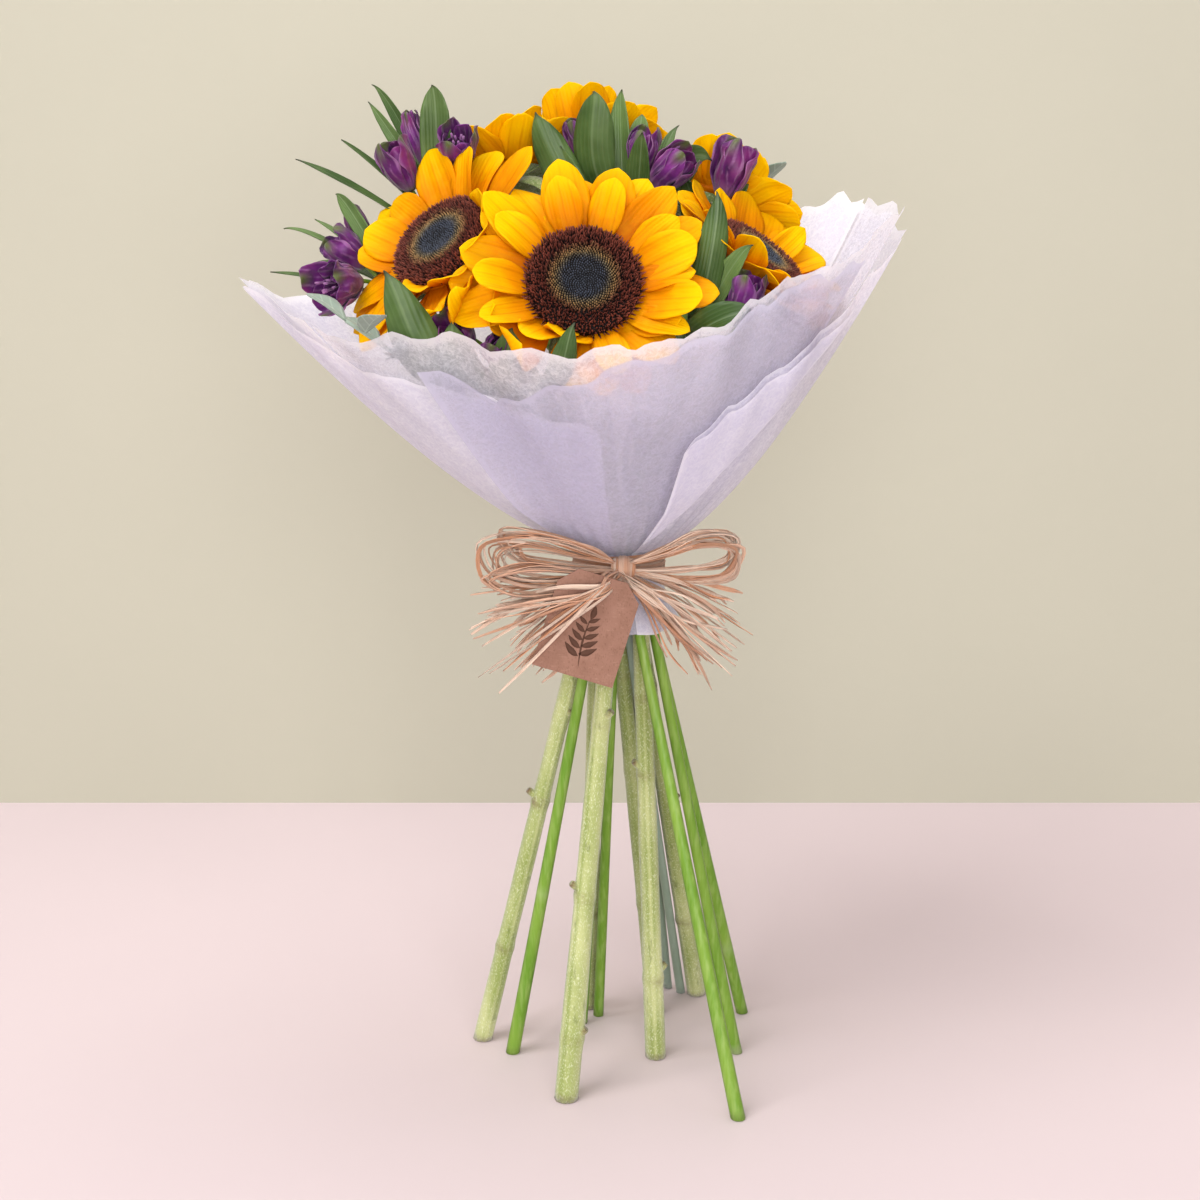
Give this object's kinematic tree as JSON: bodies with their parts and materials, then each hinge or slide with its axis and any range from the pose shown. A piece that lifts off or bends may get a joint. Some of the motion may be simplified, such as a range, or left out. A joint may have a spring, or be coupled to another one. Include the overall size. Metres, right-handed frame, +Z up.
{
  "type": "bunch of sunflowers",
  "caption": "Hand-tied bunch of sunflowers with purple alstroemeria and eucalyptus in a white non-woven wrap, tied with a raffia bow and a blank card tag, standing on its cut stems.",
  "frame": {"origin": "middle of the whole bunch's footprint, on the surface that the cut stems stand on", "axes": "+Z up along the stems, -Y towards the front with the bow and the tag, +X to the right seen from the front"},
  "size_m": [0.353, 0.256, 0.5553],
  "materials": {
    "wrap_paper": "translucent white non-woven sheet with fine loose fibres",
    "raffia": "dry natural raffia fibre, satin",
    "card": "matt brown kraft card",
    "sunflower_stem": "pale green hairy stem, matt",
    "sunflower_ray": "soft matt petal, orange towards the base",
    "sunflower_disc": "dark brown bristly florets round a grey centre",
    "alstroemeria_green": "smooth green stem and leaf, satin",
    "alstroemeria_bloom": "deep violet petal with green tips",
    "eucalyptus_leaf": "grey-green leaf with a waxy bloom"
  },
  "bodies": {
    "root": {"wrap_back": "wrap_paper", "wrap_inner": "wrap_paper", "wrap_left": "wrap_paper", "wrap_front": "wrap_paper", "wrap_right": "wrap_paper", "raffia_band": "raffia", "raffia_bow": "raffia", "tag": "card", "sunflower_1_stem": "sunflower_stem", "sunflower_1_rays": "sunflower_ray", "sunflower_1_disc": "sunflower_disc", "sunflower_2_stem": "sunflower_stem", "sunflower_2_rays": "sunflower_ray", "sunflower_2_disc": "sunflower_disc", "sunflower_3_stem": "sunflower_stem", "sunflower_3_rays": "sunflower_ray", "sunflower_3_disc": "sunflower_disc", "sunflower_4_stem": "sunflower_stem", "sunflower_4_rays": "sunflower_ray", "sunflower_4_disc": "sunflower_disc", "sunflower_5_stem": "sunflower_stem", "sunflower_5_rays": "sunflower_ray", "sunflower_5_disc": "sunflower_disc", "sunflower_6_stem": "sunflower_stem", "sunflower_6_rays": "sunflower_ray", "sunflower_6_disc": "sunflower_disc", "alstroemeria_1_stem": "alstroemeria_green", "alstroemeria_2_stem": "alstroemeria_green", "alstroemeria_3_stem": "alstroemeria_green", "alstroemeria_4_stem": "alstroemeria_green", "alstroemeria_5_stem": "alstroemeria_green", "alstroemeria_6_stem": "alstroemeria_green", "bloom_1": "alstroemeria_bloom", "bloom_2": "alstroemeria_bloom", "bloom_3": "alstroemeria_bloom", "bloom_4": "alstroemeria_bloom", "bloom_5": "alstroemeria_bloom", "bloom_6": "alstroemeria_bloom", "bloom_7": "alstroemeria_bloom", "bloom_8": "alstroemeria_bloom", "bloom_9": "alstroemeria_bloom", "bloom_10": "alstroemeria_bloom", "bloom_11": "alstroemeria_bloom", "bloom_12": "alstroemeria_bloom", "bloom_13": "alstroemeria_bloom", "bloom_14": "alstroemeria_bloom", "bloom_15": "alstroemeria_bloom", "eucalyptus_1": "eucalyptus_leaf", "eucalyptus_2": "eucalyptus_leaf"}
  },
  "joints": []
}
